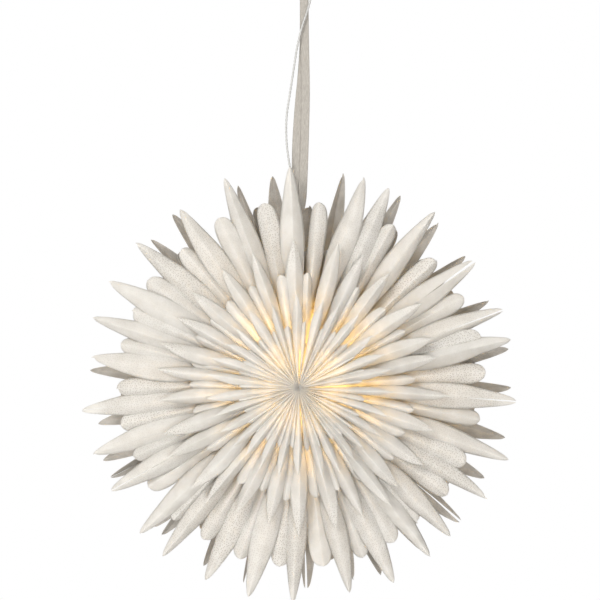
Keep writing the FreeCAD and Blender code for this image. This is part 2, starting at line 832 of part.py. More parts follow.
def make_plug():
    """A flat two-pin plug: a moulded body with its strain relief, and two round pins."""
    body = doc.addObject("PartDesign::Body", "plug_moulding")
    sketch = new_sketch(body, "plug_outline", "XZ_Plane")
    half = [
        ("plug_rear_end", "-plug_rear_half_width", 0),
        ("-plug_waist_end", "-plug_half_width", 0),
        ("-plug_front_end", "-plug_half_width", 0),
    ]
    outline(sketch, both_halves(half))
    pad = body.newObject("PartDesign::Pad", "plug_pad")
    pad.Profile = sketch
    pad.Midplane = True
    pad.setExpression("Length", "Sizes.plug_thickness")
    doc.recompute()
    fillet = body.newObject("PartDesign::Fillet", "plug_fillet")
    edges = [f"Edge{n + 1}" for n in range(len(pad.Shape.Edges))]
    fillet.Base = (pad, edges)
    fillet.setExpression("Radius", "Sizes.plug_rounding")
    relief = doc.addObject("Part::Cone", "relief")
    relief.setExpression("Radius1", "Sizes.relief_radius")
    relief.setExpression("Radius2", "Sizes.relief_tip_radius")
    relief.setExpression("Height", "Sizes.relief_length + Sizes.plug_rounding")
    relief.Placement = Placement(Vector(), Rotation(Vector(0, 1, 0), 90))
    relief.setExpression("Placement.Base.x", "Sizes.plug_rear_end - Sizes.plug_rounding")
    plug = fuse("plug", [body, relief])
    at_star(plug, up="Sizes.plug_level", back="Sizes.plug_back")
    keep(plug, "plug_body")

    pins = []
    for place, sign in (("low", "-"), ("high", "")):
        rod = cylinder(f"rod_{place}", "Sizes.pin_radius", "Sizes.pin_length")
        doc.recompute()
        pin = doc.addObject("Part::Fillet", f"pin_{place}")
        pin.Base = rod
        top_edge = next(
            n + 1
            for n, edge in enumerate(rod.Shape.Edges)
            if edge.Closed and edge.CenterOfMass.z > size("pin_length") / 2
        )
        pin.Edges = [(top_edge, size("pin_rounding"), size("pin_rounding"))]
        pin.Placement = Placement(Vector(), Rotation(Vector(0, 1, 0), -90))
        pin.setExpression("Placement.Base.x", "-Sizes.plug_front_end")
        pin.setExpression("Placement.Base.z", f"{sign}Sizes.pin_half_spacing")
        pins.append(pin)
    pair = group("pins", pins)
    at_star(pair, up="Sizes.plug_level", back="Sizes.plug_back")
    keep(pair, "plug_pins")


# ---------------------------------------------------------------- build and export


def check_and_export():
    doc.recompute()
    for piece in doc.Objects:
        if "Invalid" in piece.State or "Error" in piece.State:
            raise RuntimeError(f"{piece.Label} failed: {piece.State}")
    os.makedirs("parts", exist_ok=True)
    for piece in sub_parts:
        shape = piece.Shape
        if shape.isNull() or not shape.isValid():
            raise RuntimeError(f"{piece.Label} has no valid shape")
        if not shape.Solids:
            raise RuntimeError(f"{piece.Label} is not a solid")
        shape.exportStep(os.path.join("parts", piece.Label + ".step"))
    print(len(sub_parts), "sub-parts written")


make_bags()
make_covers()
make_magnets()
make_bracket()
make_lamp_holder()
make_bulb()
make_ribbon()
cord_tube(CORD_ROUTE, "cord")
make_coil()
make_ties()
cord_tube(TAIL_ROUTE, "cord_tail")
make_plug()
check_and_export()
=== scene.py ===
"""Paper snowflake star: the visible model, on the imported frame.

Metres where nothing else is said, +Z up, the front faces -Y. A bag's own axes are r, outwards from
the star's axis, t, across it, anticlockwise as seen from the front, and d, away from the star's
middle plane, towards the front or the back.
"""

import json
import math
import random

import bmesh
import bpy
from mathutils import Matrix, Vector, noise


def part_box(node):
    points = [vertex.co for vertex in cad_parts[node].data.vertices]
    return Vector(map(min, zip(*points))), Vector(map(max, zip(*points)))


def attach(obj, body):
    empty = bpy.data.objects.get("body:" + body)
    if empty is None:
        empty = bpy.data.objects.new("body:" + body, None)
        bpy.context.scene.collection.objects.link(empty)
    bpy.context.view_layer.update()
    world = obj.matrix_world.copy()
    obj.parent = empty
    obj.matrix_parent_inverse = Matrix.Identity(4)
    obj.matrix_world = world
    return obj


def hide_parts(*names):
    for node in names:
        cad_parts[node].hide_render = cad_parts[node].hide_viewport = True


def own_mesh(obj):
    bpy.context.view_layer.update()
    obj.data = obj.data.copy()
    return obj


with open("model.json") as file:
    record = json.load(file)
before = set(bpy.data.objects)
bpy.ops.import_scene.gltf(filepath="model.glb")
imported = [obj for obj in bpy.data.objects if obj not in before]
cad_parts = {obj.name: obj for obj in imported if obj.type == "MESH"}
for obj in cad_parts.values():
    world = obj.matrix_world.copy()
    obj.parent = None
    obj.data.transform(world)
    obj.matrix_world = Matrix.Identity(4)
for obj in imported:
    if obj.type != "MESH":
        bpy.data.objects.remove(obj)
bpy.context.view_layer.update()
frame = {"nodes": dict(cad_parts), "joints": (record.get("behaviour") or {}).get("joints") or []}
nodes = frame["nodes"]

MM = 0.001
FOLD = next(joint for joint in frame["joints"] if joint["name"] == "fold")
CENTRE = Vector(FOLD["pos_m"])
PAIRS = 27

# ---------------------------------------------------------------- camera and light

CAMERA_AWAY = 2.46
CAMERA_ASIDE = -0.0014
CAMERA_ABOVE = 0.1155
VIEW_WIDTH = 0.829
SENSOR = 36
# the light that the world casts: its colour, its strength in the dark and the bright direction, how
# much each axis counts towards the dark one, and where along that sum the two strengths are reached
WORLD_COLOUR = (1, 0.99, 0.975, 1)
WORLD_STRENGTH = (0.26, 0.79)
WORLD_DARK = (0.62, 0.55, -0.55)
WORLD_RANGE = (0.7, -0.85)
# the bulb's light, spread round the hollow as the paper walls scatter it
GLOW_LIGHTS = 10
GLOW_RADIUS = 0.05
GLOW_POWER = 12.0
GLOW_COLOUR = (1, 0.64, 0.19)
GLOW_SIZE = 0.018


def make_camera():
    data = bpy.data.cameras.new("camera")
    data.sensor_width = SENSOR
    data.lens = SENSOR * CAMERA_AWAY / VIEW_WIDTH
    camera = bpy.data.objects.new("camera", data)
    bpy.context.scene.collection.objects.link(camera)
    camera.location = CENTRE + Vector((CAMERA_ASIDE, -CAMERA_AWAY, CAMERA_ABOVE))
    camera.rotation_euler = (math.pi / 2, 0, 0)
    bpy.context.scene.camera = camera


def area_light(name, place, size, power, colour):
    """A soft square light that faces the star."""
    data = bpy.data.lights.new(name, "AREA")
    data.size = size
    data.energy = power
    data.color = colour
    light = bpy.data.objects.new(name, data)
    bpy.context.scene.collection.objects.link(light)
    light.location = CENTRE + Vector(place)
    light.rotation_euler = (-Vector(place)).to_track_quat("-Z", "Y").to_euler()


def make_world():
    """White as the camera sees it. What it casts is brightest from above, in front and the left."""
    world = bpy.data.worlds.new("studio")
    bpy.context.scene.world = world
    world.use_nodes = True
    tree = world.node_tree
    tree.nodes.clear()
    seen = add(tree, "Background", {"Color": (1, 1, 1, 1), "Strength": 1.0})
    place = add(tree, "TexCoord").outputs["Generated"]
    parts = add(tree, "SeparateXYZ", {0: place})
    aside, ahead, above = [
        math_node(tree, "MULTIPLY", parts.outputs[axis], share)
        for axis, share in zip("XYZ", WORLD_DARK)
    ]
    facing = math_node(tree, "ADD", math_node(tree, "ADD", aside, ahead), above)
    strength = ramp(tree, facing, *WORLD_RANGE, *WORLD_STRENGTH)
    cast = add(tree, "Background", {"Color": WORLD_COLOUR, "Strength": strength})
    ray = add(tree, "LightPath")
    mix = add(
        tree,
        "MixShader",
        {0: ray.outputs["Is Camera Ray"], 1: cast.outputs[0], 2: seen.outputs[0]},
    )
    add(tree, "OutputWorld", {"Surface": mix.outputs[0]})


def make_lamp_glow():
    """The lamp's light: a ring of small warm lights about the bulb, which move with it."""
    for n in range(GLOW_LIGHTS):
        turn = 2 * math.pi * (n + 0.5) / GLOW_LIGHTS
        glow = bpy.data.lights.new("lamp_glow", "POINT")
        glow.energy = GLOW_POWER / GLOW_LIGHTS
        glow.color = GLOW_COLOUR
        glow.shadow_soft_size = GLOW_SIZE
        lamp = bpy.data.objects.new("lamp_glow", glow)
        bpy.context.scene.collection.objects.link(lamp)
        place = Vector((GLOW_RADIUS * math.cos(turn), 0, GLOW_RADIUS * math.sin(turn)))
        lamp.location = CENTRE + place
        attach(lamp, "bulb")


def make_lights():
    make_world()
    area_light("key", place=(-1.2, -2.4, 1.2), size=0.8, power=47, colour=(1, 0.99, 0.975))
    area_light("fill", place=(0.4, -2.8, -0.25), size=0.6, power=37, colour=(1, 0.99, 0.98))
    make_lamp_glow()
    bpy.context.scene.view_settings.view_transform = "Standard"


# ---------------------------------------------------------------- shader helpers


def add(tree, kind, inputs=None, **settings):
    """A shader node, with its settings and its inputs: a value or a socket to link."""
    made = tree.nodes.new("ShaderNode" + kind)
    for key, value in settings.items():
        setattr(made, key, value)
    for key, value in (inputs or {}).items():
        if isinstance(value, bpy.types.NodeSocket):
            tree.links.new(value, made.inputs[key])
        else:
            made.inputs[key].default_value = value
    return made


def new_material(name):
    made = bpy.data.materials.new(name)
    made.use_nodes = True
    made.node_tree.nodes.clear()
    return made, made.node_tree


def mix_colour(tree, factor, first, second, blend="MIX"):
    made = add(tree, "Mix", {"Factor": factor}, data_type="RGBA", blend_type=blend)
    for socket, value in ((made.inputs[6], first), (made.inputs[7], second)):
        if isinstance(value, bpy.types.NodeSocket):
            tree.links.new(value, socket)
        else:
            socket.default_value = (*value, 1)
    return made.outputs[2]


def math_node(tree, operation, first, second=0.0):
    return add(tree, "Math", {0: first, 1: second}, operation=operation).outputs[0]


def ramp(tree, value, low, high, start=0.0, end=1.0):
    """value mapped from low..high to start..end, smoothly and kept within them."""
    made = add(
        tree,
        "MapRange",
        {"Value": value, "From Min": low, "From Max": high, "To Min": start, "To Max": end},
        interpolation_type="SMOOTHSTEP",
    )
    return made.outputs["Result"]


def grain(tree, vector, scale, detail=3.0, roughness=0.6):
    made = add(
        tree,
        "TexNoise",
        {"Vector": vector, "Scale": scale, "Detail": detail, "Roughness": roughness},
    )
    return made.outputs["Fac"]


def simple_material(name, dark, light, roughness, metal=0.0, scale=300.0, bump=0.05):
    """Moulded, rolled or glazed stock: a colour that varies a little, a varied gloss, and a bump."""
    made, tree = new_material(name)
    place = add(tree, "TexCoord").outputs["Object"]
    spots = grain(tree, place, scale)
    wide = grain(tree, place, scale / 9)
    colour = mix_colour(tree, ramp(tree, wide, 0.3, 0.7), dark, light)
    rough = ramp(tree, spots, 0.25, 0.75, roughness * 0.85, roughness * 1.15)
    normal = add(tree, "Bump", {"Height": spots, "Strength": bump, "Distance": 0.0004})
    shader = add(
        tree,
        "BsdfPrincipled",
        {
            "Base Color": colour,
            "Roughness": rough,
            "Metallic": metal,
            "Normal": normal.outputs[0],
        },
    )
    add(tree, "OutputMaterial", {"Surface": shader.outputs[0]})
    return made


# ---------------------------------------------------------------- paper

HOLE_PITCH = 0.0033
PAPER_DARK = (0.86, 0.84, 0.795)
PAPER_LIGHT = (0.92, 0.905, 0.87)
# the bags' inner faces: the same paper as outside, painted darker as painted shade for the insides
# of the tips, which lie in the shadow of the tips in front of them
INSIDE_PAINTED_SHADE_DARK = (0.48, 0.455, 0.42)
INSIDE_PAINTED_SHADE_LIGHT = (0.6, 0.575, 0.54)
FIBRE = (0.78, 0.75, 0.70)
# the colour of the punched holes: painted shade standing in for the dim inside that shows through
# them
HOLE_PAINTED_SHADE = (0.38, 0.33, 0.28)
# how much of the light that meets the paper comes out on its other side
THROUGH_SHARE = 0.54
PAPER_THICKNESS = 0.00035
# nearer the axis than this, where the bags meet, the paper thins down to this share of its thickness
THIN_REACH = 0.03
THIN_SHARE = 0.1


def paper_material(name, dark, light):
    """Thin matt paper: fibres, a faint mottle, fine punched holes drawn as dots of painted shade,
    and light from behind.
    """
    made, tree = new_material(name)
    place = add(tree, "TexCoord").outputs["Object"]
    flat = add(tree, "UVMap", uv_map="sheet").outputs["UV"]
    mottle = grain(tree, place, 55, 4.0)
    fibres = grain(tree, place, 900, 4.0, 0.7)
    colour = mix_colour(tree, ramp(tree, mottle, 0.3, 0.7), dark, light)
    colour = mix_colour(tree, ramp(tree, fibres, 0.35, 0.7, 0.0, 0.15), colour, FIBRE)
    cell = add(
        tree,
        "TexVoronoi",
        {"Vector": flat, "Scale": 1 / HOLE_PITCH, "Randomness": 0.75},
        voronoi_dimensions="2D",
    )
    hole = ramp(tree, cell.outputs["Distance"], 0.27, 0.16)
    amount = add(tree, "Attribute", attribute_name="holes").outputs["Fac"]
    hole = math_node(tree, "MULTIPLY", hole, amount)
    # the holes are real but not cut here: each is drawn as a dark dot of painted shade, over a dent
    # in the bump
    painted_hole_shade = math_node(tree, "MULTIPLY", hole, 0.5)
    colour = mix_colour(tree, painted_hole_shade, colour, HOLE_PAINTED_SHADE)
    height = math_node(tree, "SUBTRACT", math_node(tree, "MULTIPLY", fibres, 0.35), hole)
    normal = add(tree, "Bump", {"Height": height, "Strength": 0.22, "Distance": 0.0004})
    front = add(
        tree,
        "BsdfPrincipled",
        {"Base Color": colour, "Roughness": 0.78, "Normal": normal.outputs[0]},
    )
    front.inputs["Specular IOR Level"].default_value = 0.22
    through = add(tree, "BsdfTranslucent", {"Color": colour, "Normal": normal.outputs[0]})
    mix = add(tree, "MixShader", {0: THROUGH_SHARE, 1: front.outputs[0], 2: through.outputs[0]})
    add(tree, "OutputMaterial", {"Surface": mix.outputs[0]})
    return made


# ---------------------------------------------------------------- bags

# Sizes in this section are in millimetres and degrees, apart from WELD, which is in metres.
#
# Stations along a tip, from its root outwards: radius, half width as it springs open, depth of its
# folded front edge, and length of each wall from that edge to the open one behind it.
POINT_ROWS = (
    (
        (112, 8, 56, 17),
        (150, 12.5, 52.5, 18.5),
        (194, 17.2, 49.5, 22),
        (225, 15.8, 47.4, 20),
        (252, 12, 45.8, 15.5),
        (275, 8.2, 44.2, 10.2),
        (288, 5.4, 43.2, 6.6),
        (296, 3.1, 42.5, 3.8),
        (300, 0.6, 42, 0.9),
    ),
    (
        (62, 4.4, 84, 12),
        (95, 8.2, 79.5, 15),
        (126, 12, 75, 18),
        (150, 12, 72, 16),
        (170, 9.6, 69.6, 12),
        (188, 5.6, 67.5, 6.6),
        (198, 2.2, 66.4, 2.6),
        (203, 0.4, 66, 0.6),
    ),
    (
        (0.4, 0.05, 99, 0.3),
        (5, 0.42, 99.3, 0.55),
        (12, 1, 99.5, 2),
        (30, 2.4, 99.7, 5.4),
        (50, 4.1, 99.4, 8),
        (70, 6.2, 98, 10.5),
        (88, 7.6, 95.6, 12),
        (102, 6.6, 93.2, 9.2),
        (114, 4.2, 91, 5.4),
        (122, 1.9, 89.6, 2.4),
        (126, 0.4, 89, 0.6),
    ),
)
ROUND_ROWS = (
    (
        (106, 7, 51, 16),
        (150, 10, 48, 17),
        (186, 12.4, 44.5, 18),
        (215, 13.6, 42, 17.5),
        (232, 13.2, 40.6, 16.5),
        (243, 11.4, 39.8, 14),
        (249, 8.8, 39.4, 11),
        (252.6, 5.2, 39, 7),
        (254, 0.8, 38.8, 1.5),
    ),
    (
        (52, 3.6, 82, 10),
        (80, 6.6, 76.5, 13),
        (108, 9.4, 71, 15),
        (130, 10.4, 67.8, 14.5),
        (144, 9.6, 66, 12.5),
        (152, 7.6, 65.2, 10),
        (157, 4.4, 64.8, 6),
        (159, 0.8, 64.6, 1.5),
    ),
    (
        (0.4, 0.04, 97, 0.3),
        (5, 0.2, 97.6, 0.35),
        (12, 0.5, 97.8, 1.1),
        (30, 1.6, 97, 3.6),
        (50, 3.3, 96.2, 6.2),
        (66, 4.9, 94.6, 8.4),
        (77, 5.2, 92.6, 8.4),
        (84, 4.2, 91.2, 6.4),
        (88, 0.8, 90.2, 1.6),
    ),
)
# the radius out to which each row's walls carry on behind the tip, to meet their neighbours
NOTCHES = {"point": (194, 128, 80), "round": (184, 108, 60)}
# the radius of the round hollow about the lamp, where the walls stop
HOLLOW = 84

# directions in degrees from +X towards +Z, from the first bag round to the last: where the CAD model
# sets the bags out, and where their pointed and their round outer tips are to point
BAG_DIRECTIONS = (
    91.55, 106, 120, 135, 148, 159, 170, 183, 195.5, 206, 218, 228, 240.5, 253.5, 265.5,
    279.5, 291.5, 303.5, 312, 325, 337.5, 352, 368, 377.5, 391.5, 407, 422, 431.5, 448.45,
)  # fmt: skip
POINT_DIRECTIONS = (
    92.6, 110, 124.8, 138.6, 151.2, 161.8, 172, 186.5, 198.5, 209, 221.8, 230.4, 243.5, 256.7,
    267.8, 282.4, 294.3, 306.9, 314, 328.1, 340.2, 355.8, 372.1, 380.4, 394.7, 411.9, 425.8, 433.9,
)  # fmt: skip
ROUND_DIRECTIONS = (
    101.2, 116.3, 131.4, 145.1, 156, 166.9, 180.6, 192.5, 203.4, 214.2, 226, 237.4, 250.1, 263,
    277, 288.8, 300.4, 310.5, 322.5, 335, 348.7, 363.7, 374.8, 388.7, 402.6, 419.9, 426.9, 444.7,
)  # fmt: skip
# the steps, in degrees, in which a tip leans from the middle of its opening
LEAN_STEP = 0.5
# how far the tips at the back lean from the ones in front of them, in degrees
BACK_LEAN = (
    5, -3, 2.5, -2, 1.5, 1.5, 4.5, 4.5, 3, -3, 2, -3, -2, -2,
    3, 2, -2.5, -2, 4.5, 4.5, 4.5, 2, -3, 3, 2.5, -2.5, -4, 4.5,
)  # fmt: skip
# how much of that the round tips take
ROUND_BACK_SHARE = 0.6
# for each row, how much of the leans its tips take, and how far they wander from that at random
LEAN_SHARES = (1, 0.75, 0.35)
BACK_LEAN_SHARES = (1, 0.6, 0.2)
LEAN_WANDER = (0.5, 1.3, 0.8)

# the two end bags lean towards the seam in all three rows
END_LEAN = {"bag_first": (-2.5, -2.7, -2.3), "bag_last": (0.5, 2.2, 2.2)}
# where the end bags meet the covers, in degrees, and where they meet each other nearer the axis than
# the covers reach
SEAM_EDGES = (91.5, 448.5)
SEAM_CLOSED = {91.5: 90.1, 448.5: 449.9}
COVER_INNER = 76
# how wide the tips at the back are, compared with the front ones
BACK_WIDTH = 0.82
# where the ridges meet at the front and back, from the star's axis, across and up, and the radius
# within which they bend towards it
HUB = (-3, -1)
HUB_REACH = 110

# points nearer to each other than this are joined
WELD = 0.00001
LENGTH_STEPS = 22
# steps along a tip crowd towards its end, where it narrows fast
TIP_CROWDING = 1.6
# the most that a tip's half width may be of its wall's length
WIDEST_SHARE = 0.93
# the radius from which a tip leans, and the length over which it lifts
LEAN_START = 20
LIFT_REACH = 40
# the punched holes come in over the first two radii, and go again over the last two
HOLES_IN = (140, 190)
HOLES_OUT = (265, 285)
# stations across a wall, from its folded edge: the first one is close, so the fold is crisp
WALL_SHARES = (0, 0.06, 0.2, 0.4, 0.6, 0.8, 1)
WEB_STEPS = 3


def curve_value(s, start, slope_start, end, slope_end):
    """A value on the smooth curve from start to end, at the share s of the way."""
    return (
        (2 * s**3 - 3 * s**2 + 1) * start
        + (s**3 - 2 * s**2 + s) * slope_start
        + (3 * s**2 - 2 * s**3) * end
        + (s**3 - s**2) * slope_end
    )


def at_station(stations, r):
    """Half width, front depth and wall length at a radius, on a curve through the stations."""
    last = len(stations) - 1
    n = next((i for i in range(last) if r <= stations[i + 1][0]), last - 1)
    a, b = stations[n], stations[n + 1]
    before = stations[max(n - 1, 0)]
    after = stations[min(n + 2, last)]
    span = b[0] - a[0]
    s = (r - a[0]) / span
    values = []
    for i in (1, 2, 3):
        slope_a = (b[i] - before[i]) / (b[0] - before[0]) * span
        slope_b = (after[i] - a[i]) / (after[0] - a[0]) * span
        values.append(curve_value(s, a[i], slope_a, b[i], slope_b))
    return values


class Bags:
    """The mesh of one pair of bags, or of a single one: grids of paper, each point with its place
    on the flat sheet and how strongly the punched holes show there."""

    def __init__(self):
        self.points = []
        self.faces = []
        self.flat = []
        self.holes = []

    def grid(self, rows):
        """Adds a grid of points, given as rows of (place, flat place, holes)."""
        base = len(self.points)
        width = len(rows[0])
        for row in rows:
            for place, flat, holes in row:
                self.points.append(place)
                self.flat.append(flat)
                self.holes.append(holes)
        for i in range(len(rows) - 1):
            for j in range(width - 1):
                a = base + i * width + j
                self.faces.append((a, a + 1, a + width + 1, a + width))

    def build(self, name, materials):
        """The piece itself, with its points welded and its paper given a thickness."""
        mesh = bpy.data.meshes.new(name)
        mesh.from_pydata(self.points, [], self.faces)
        mesh.update()
        layer = mesh.uv_layers.new(name="sheet")
        for loop in mesh.loops:
            layer.data[loop.index].uv = self.flat[loop.vertex_index]
        holes = mesh.attributes.new("holes", "FLOAT", "POINT")
        holes.data.foreach_set("value", self.holes)
        joined = bmesh.new()
        joined.from_mesh(mesh)
        bmesh.ops.remove_doubles(joined, verts=joined.verts, dist=WELD)
        joined.to_mesh(mesh)
        joined.free()
        mesh.shade_smooth()
        for material in materials:
            mesh.materials.append(material)
        piece = bpy.data.objects.new(name, mesh)
        bpy.context.scene.collection.objects.link(piece)
        full = piece.vertex_groups.new(name="full_thickness")
        for vertex in mesh.vertices:
            away = math.hypot(vertex.co.x - CENTRE.x, vertex.co.z - CENTRE.z)
            full.add([vertex.index], smooth(away / THIN_REACH), "REPLACE")
        paper = piece.modifiers.new("paper", "SOLIDIFY")
        paper.thickness = PAPER_THICKNESS
        paper.vertex_group = full.name
        paper.thickness_vertex_group = THIN_SHARE
        paper.offset = -1
        # the inner faces take the second material: the same paper painted darker, as painted shade
        paper.material_offset = 1
        return piece


def direction_of(node):
    """The direction of a bag's CAD wedge from the star's axis, in degrees: 0 is right, 90 is up."""
    low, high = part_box(node)
    across = max(low.x - CENTRE.x, high.x - CENTRE.x, key=abs)
    up = max(low.z - CENTRE.z, high.z - CENTRE.z, key=abs)
    return math.degrees(math.atan2(up, across)) % 360


def smooth(value):
    """The value kept within 0..1, and eased at both ends."""
    value = min(max(value, 0), 1)
    return value * value * (3 - 2 * value)


def add_tip(bags, kind, row, middle, edges, front, traits):
    """One tip of a bag, front or back, with the walls behind it.

    middle is the bag's direction and edges are those of the planes where it meets its neighbours,
    in degrees. traits are the tip's own, as add_bag draws them."""
    stations = (POINT_ROWS if kind == "point" else ROUND_ROWS)[row]
    notch = NOTCHES[kind][row]
    start, end = stations[0][0], stations[-1][0]
    facing = -1 if front else 1
    for side in (-1, 1):
        leaf = []
        webs = []
        for i in range(LENGTH_STEPS + 1):
            share = 1 - (1 - i / LENGTH_STEPS) ** TIP_CROWDING
            r = start + (end - start) * share
            half, edge, wall = at_station(stations, r)
            half = min(half * traits["width"], wall * WIDEST_SHARE)
            drop = math.sqrt(max(wall * wall - half * half, 0))
            out = smooth((r - start) / (end - start))
            turn = middle + traits["lean"] * smooth((r - LEAN_START) / (0.8 * end))
            edge += traits["bend"] * smooth((r - notch * 0.8) / (end - notch * 0.8))
            edge += traits["lift"] * smooth((r - start) / LIFT_REACH)
            roll = math.radians(traits["roll"]) * out
            length = traits["length"] * (1 - traits["short"] * (side > 0))
            r = min(r, notch) + max(r - notch, 0) * length
            line = []
            for x in WALL_SHARES:
                crease = traits["crease"]
                fall = crease * x + (1 - crease) * (1 - math.cos(x * math.pi / 2))
                across = side * (half * x + traits["split"] * out**3)
                deep = drop * fall
                t = across * math.cos(roll) + deep * math.sin(roll)
                d = edge - deep * math.cos(roll) + across * math.sin(roll)
                buckle = noise.noise(Vector((r * 0.03, middle * 0.7 + side, row * 5 + facing)))
                d += traits["buckle"] * buckle * x * smooth(r / 60)
                line.append((r, t, d, turn, wall * x))
            leaf.append([spot(p, facing, side, traits) for p in line])
            if r <= notch:
                webs.append(web_line(line[-1], side, edges, facing, traits))
        bags.grid(leaf if side * facing > 0 else leaf[::-1])
        if len(webs) > 1:
            bags.grid(webs if side * facing > 0 else webs[::-1])


def spot(p, facing, side, traits):
    """A point of a bag in the object's frame, with its place on the flat sheet and its holes."""
    r, t, d, turn, along = p
    angle = math.radians(turn)
    hub = 1 - smooth(r / HUB_REACH)
    place = CENTRE + MM * Vector(
        (
            r * math.cos(angle) - t * math.sin(angle) + hub * HUB[0],
            facing * d,
            r * math.sin(angle) + t * math.cos(angle) + hub * HUB[1],
        )
    )
    holes = traits["holes"] * smooth((r - HOLES_IN[0]) / (HOLES_IN[1] - HOLES_IN[0]))
    holes *= smooth((HOLES_OUT[1] - r) / (HOLES_OUT[1] - HOLES_OUT[0]))
    return place, (r * MM, side * along * MM), holes


def web_line(edge_point, side, edges, facing, traits):
    """The rest of a wall, from its tip's open edge to the middle of the star or to the hollow."""
    r, t, d, turn, along = edge_point
    here = turn + math.degrees(math.atan2(t, r))
    r = math.hypot(r, t)
    floor = math.sqrt(max(HOLLOW**2 - r * r, 0))
    edge = edges[0] if side < 0 else edges[1]
    if r < COVER_INNER:
        edge = SEAM_CLOSED.get(edge, edge)
    line = []
    for m in range(WEB_STEPS + 1):
        x = m / WEB_STEPS
        final = here + (edge - here) * smooth(x)
        deep = d + (min(floor, d) - d) * x
        line.append(spot((r, 0, deep, final, along + d - deep), facing, side, traits))
    return line


def lean_of(tip, bag, neighbour):
    """How far a tip leans from the middle of its opening, a quarter of the way to the next bag."""
    middle = bag + (neighbour - bag) / 4
    return LEAN_STEP * round((tip - middle) / LEAN_STEP)


def add_bag(bags, name, kind, middle, edges, lean, back_lean, dice):
    """A whole bag: three rows of tips in front, and three at the back.

    Of a tip's traits, lean and roll are in degrees and bend, lift, buckle and split in millimetres.
    The others are shares."""
    for row in range(3):
        for front in (True, False):
            wander = LEAN_WANDER[row]
            traits = {
                "lean": lean * LEAN_SHARES[row] + dice.uniform(-wander, wander),
                "width": dice.uniform(0.86, 1.15) * (1, 0.9, 0.9)[row],
                "length": dice.uniform((0.88, 0.8, 0.75)[row], 1.02 if row else 1),
                "crease": dice.uniform(0.1, 0.75),
                "roll": dice.uniform(-18, 18),
                "bend": dice.uniform(-5, 3) * (1, 0.5, 0.3)[row],
                "lift": dice.uniform(-4, 2.5) * (1, 0.7, 0.3)[row],
                "buckle": dice.uniform(1.5, 4) * (1, 0.7, 0.4)[row],
                "split": max(dice.uniform(-5, 2), 0) * (kind == "point") * (1, 0.5, 0.2)[row],
                "short": max(dice.uniform(-0.1, 0.05), 0),
                "holes": dice.uniform(0, 1),
            }
            if name in END_LEAN:
                traits["lean"] = END_LEAN[name][row]
            if not front:
                traits["lean"] += back_lean * BACK_LEAN_SHARES[row]
                traits["width"] *= BACK_WIDTH
            add_tip(bags, kind, row, middle, edges, front, traits)


def make_bags(materials):
    """Every pair of glued bags, and the single bags at the two ends, each on its own body."""
    names = ["bag_first"] + [f"bag_pair_{n:02d}" for n in range(1, PAIRS + 1)] + ["bag_last"]
    directions = []
    for name in names:
        angle = direction_of(name)
        while directions and angle < directions[-1]:
            angle += 360
        directions.append(angle)
    for n, name in enumerate(names):
        dice = random.Random(100 + n)
        bags = Bags()
        if n <= PAIRS:
            opening = (directions[n + 1] - directions[n]) / 4
            middle = directions[n] + opening
            edges = (directions[n] if n else SEAM_EDGES[0], middle + opening)
            lean = lean_of(POINT_DIRECTIONS[n], BAG_DIRECTIONS[n], BAG_DIRECTIONS[n + 1])
            add_bag(bags, name, "point", middle, edges, lean, BACK_LEAN[n], dice)
        if n > 0:
            opening = (directions[n] - directions[n - 1]) / 4
            middle = directions[n] - opening
            edges = (middle - opening, directions[n] if n <= PAIRS else SEAM_EDGES[1])
            lean = lean_of(ROUND_DIRECTIONS[n - 1], BAG_DIRECTIONS[n], BAG_DIRECTIONS[n - 1])
            back_lean = BACK_LEAN[n - 1] * ROUND_BACK_SHARE
            add_bag(bags, name, "round", middle, edges, lean, back_lean, dice)
        piece = bags.build("paper_" + name, materials)
        body = {"bag_first": "root"}.get(name, name)
        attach(piece, body)
        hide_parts(name)
        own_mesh(piece)


# ---------------------------------------------------------------- cord

# the cord's route from its grip into the coil, and from the coil into the plug: across, towards
# the back and up from the star's centre, in millimetres
CORD_ROUTE = (
    (0, 0, 71),
    (0.4, 0.6, 104),
    (-0.2, -0.8, 138),
    (0, -5, 170),
    (0.2, -9.6, 202),
    (-3, -12, 236),
    (-9, -12.6, 268),
    (-16.2, -12, 302),
    (-20.6, -11, 336),
    (-20.4, -10, 368),
    (-15.2, -8.6, 400),
    (-10, -7.6, 434),
    (-5.2, -7, 466),
    (1, -6.6, 492),
    (8.4, -6.4, 512),
    (14.2, -5.6, 534),
    (20.5, -2, 554),
    (26.5, 4, 570),
)
TAIL_ROUTE = (
    (30, 25, 591),
    (28.5, 29, 602),
    (21, 31.8, 608),
    (13, 32.5, 605.5),
)
# the coil: its centre as on the route, its radii and the gap between its columns in millimetres
COIL_CENTRE = (4, 16, 586)
COIL_OUTSIDE = 23.4
COIL_INSIDE = 12.9
COIL_COLUMNS = 6
COLUMN_GAP = 2.64
TURNS_IN_COLUMN = 4
POINTS_IN_TURN = 15
# how far along a column of turns the cord starts to move over to the next one
SWING_START = 0.88
# the two strands, in metres apart from the number of sides
STRAND_SIDES = 8
STRAND_STEP = 0.0016
STRAND_RADIUS = 0.00105
STRAND_OFFSET = 0.00048
TWIST_PITCH = 0.011
WIRE_DARK = (0.37, 0.365, 0.355)
WIRE_LIGHT = (0.5, 0.495, 0.48)


def coil_points():
    """Turns wound in flat spirals side by side, inwards and outwards by turns."""
    steps = TURNS_IN_COLUMN * POINTS_IN_TURN
    across, back, up = COIL_CENTRE
    points = []
    for column in range(COIL_COLUMNS):
        for n in range(steps):
            share = n / steps
            swing = smooth(max(share - SWING_START, 0) / (1 - SWING_START))
            depth = (column - (COIL_COLUMNS - 1) / 2 + swing) * COLUMN_GAP
            if column == COIL_COLUMNS - 1:
                depth = (column - (COIL_COLUMNS - 1) / 2) * COLUMN_GAP
            inward = share if column % 2 == 0 else 1 - share
            radius = COIL_OUTSIDE + (COIL_INSIDE - COIL_OUTSIDE) * inward
            angle = 2 * math.pi * share * TURNS_IN_COLUMN
            points.append(
                (across + radius * math.cos(angle), back + depth, up + radius * math.sin(angle))
            )
    return points


